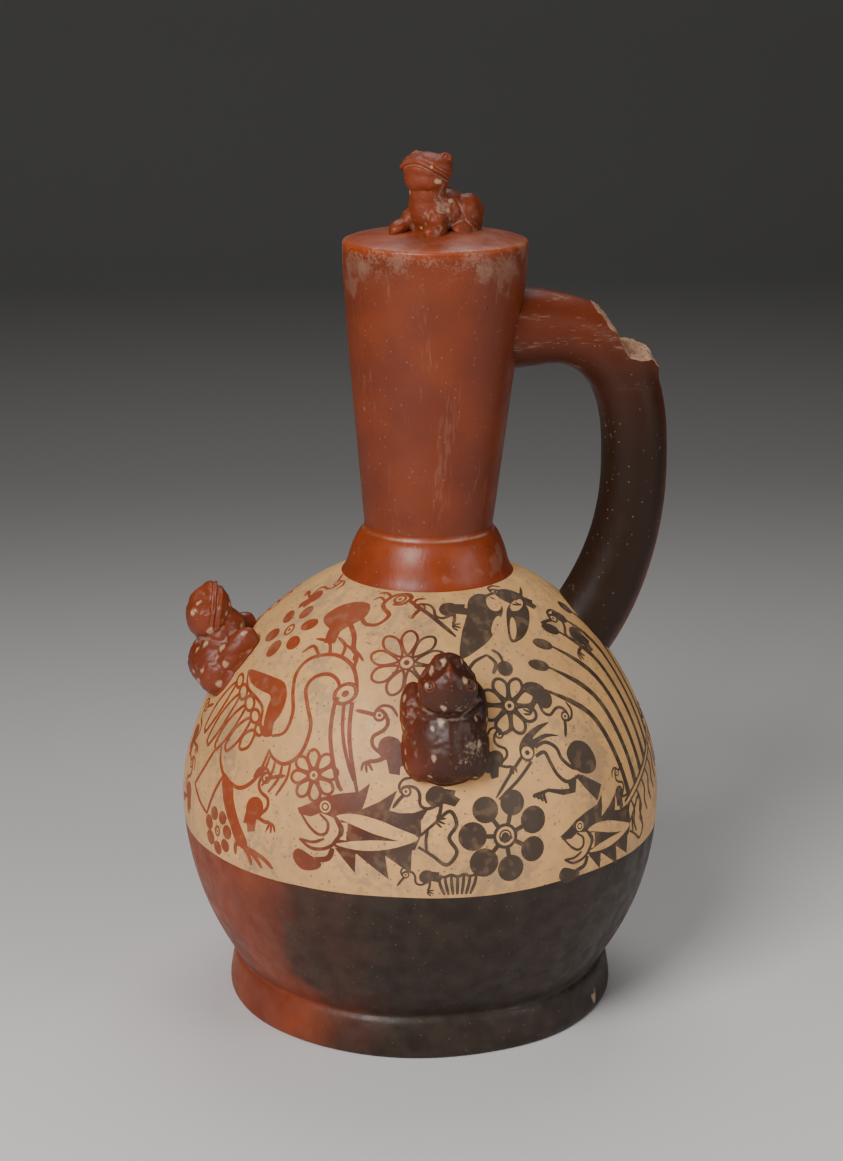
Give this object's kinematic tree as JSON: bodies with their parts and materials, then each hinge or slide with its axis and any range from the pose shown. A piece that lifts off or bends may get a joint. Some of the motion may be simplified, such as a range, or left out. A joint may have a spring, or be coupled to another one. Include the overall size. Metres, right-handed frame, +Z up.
{
  "type": "stirrup spout vessel",
  "caption": "Hollow painted clay bottle: round body on a ring foot, tapered neck with a closed top, looped side handle with a broken spout, and small modelled frogs.",
  "frame": {"origin": "middle of the ring foot's underside", "axes": "+Z up along the body's axis, +X towards the handle, -Y towards the front frog"},
  "size_m": [0.1714, 0.17, 0.3017],
  "materials": {
    "fired_clay": "burnished red slip with a cream painted band, smoke-darkened on the lower part"
  },
  "bodies": {
    "root": {"vessel": "fired_clay"}
  },
  "joints": []
}
